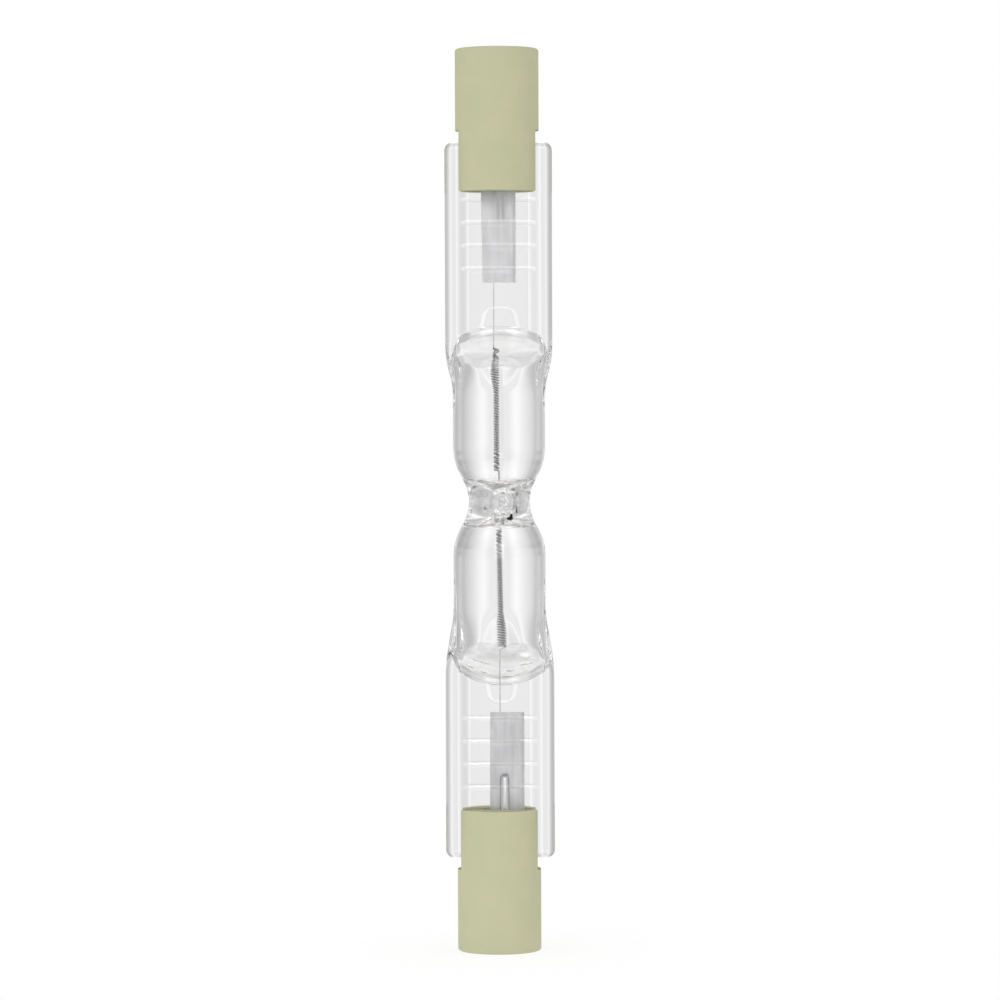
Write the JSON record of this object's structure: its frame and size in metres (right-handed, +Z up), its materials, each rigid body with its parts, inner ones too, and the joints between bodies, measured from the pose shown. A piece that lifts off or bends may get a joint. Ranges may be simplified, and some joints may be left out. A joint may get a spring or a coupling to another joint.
{
  "type": "linear halogen bulb",
  "caption": "Double-ended linear halogen bulb: clear quartz tube with a necked waist, flat pinch seals and slotted ceramic end caps with recessed contacts.",
  "frame": {"origin": "centre of the lower cap's end face, on the lamp's axis", "axes": "+Z up along the lamp, X across the width of the flat pinch seals, exhaust tip towards -Y"},
  "size_m": [0.0096, 0.008, 0.0783],
  "materials": {
    "quartz": "clear, fire polished",
    "ceramic": "matt, unglazed",
    "cement": "matt, fine grained",
    "foil": "rolled foil, satin",
    "lead": "drawn wire, satin",
    "filament": "dark tungsten wire",
    "contact": "plated, satin"
  },
  "bodies": {
    "root": {"quartz_envelope": "quartz", "filament": "filament", "upper_foil": "foil", "lower_foil": "foil", "upper_lead": "lead", "lower_lead": "lead", "upper_cap": "ceramic", "lower_cap": "ceramic", "upper_contact": "contact", "lower_contact": "contact", "upper_cement": "cement", "lower_cement": "cement"}
  },
  "joints": []
}
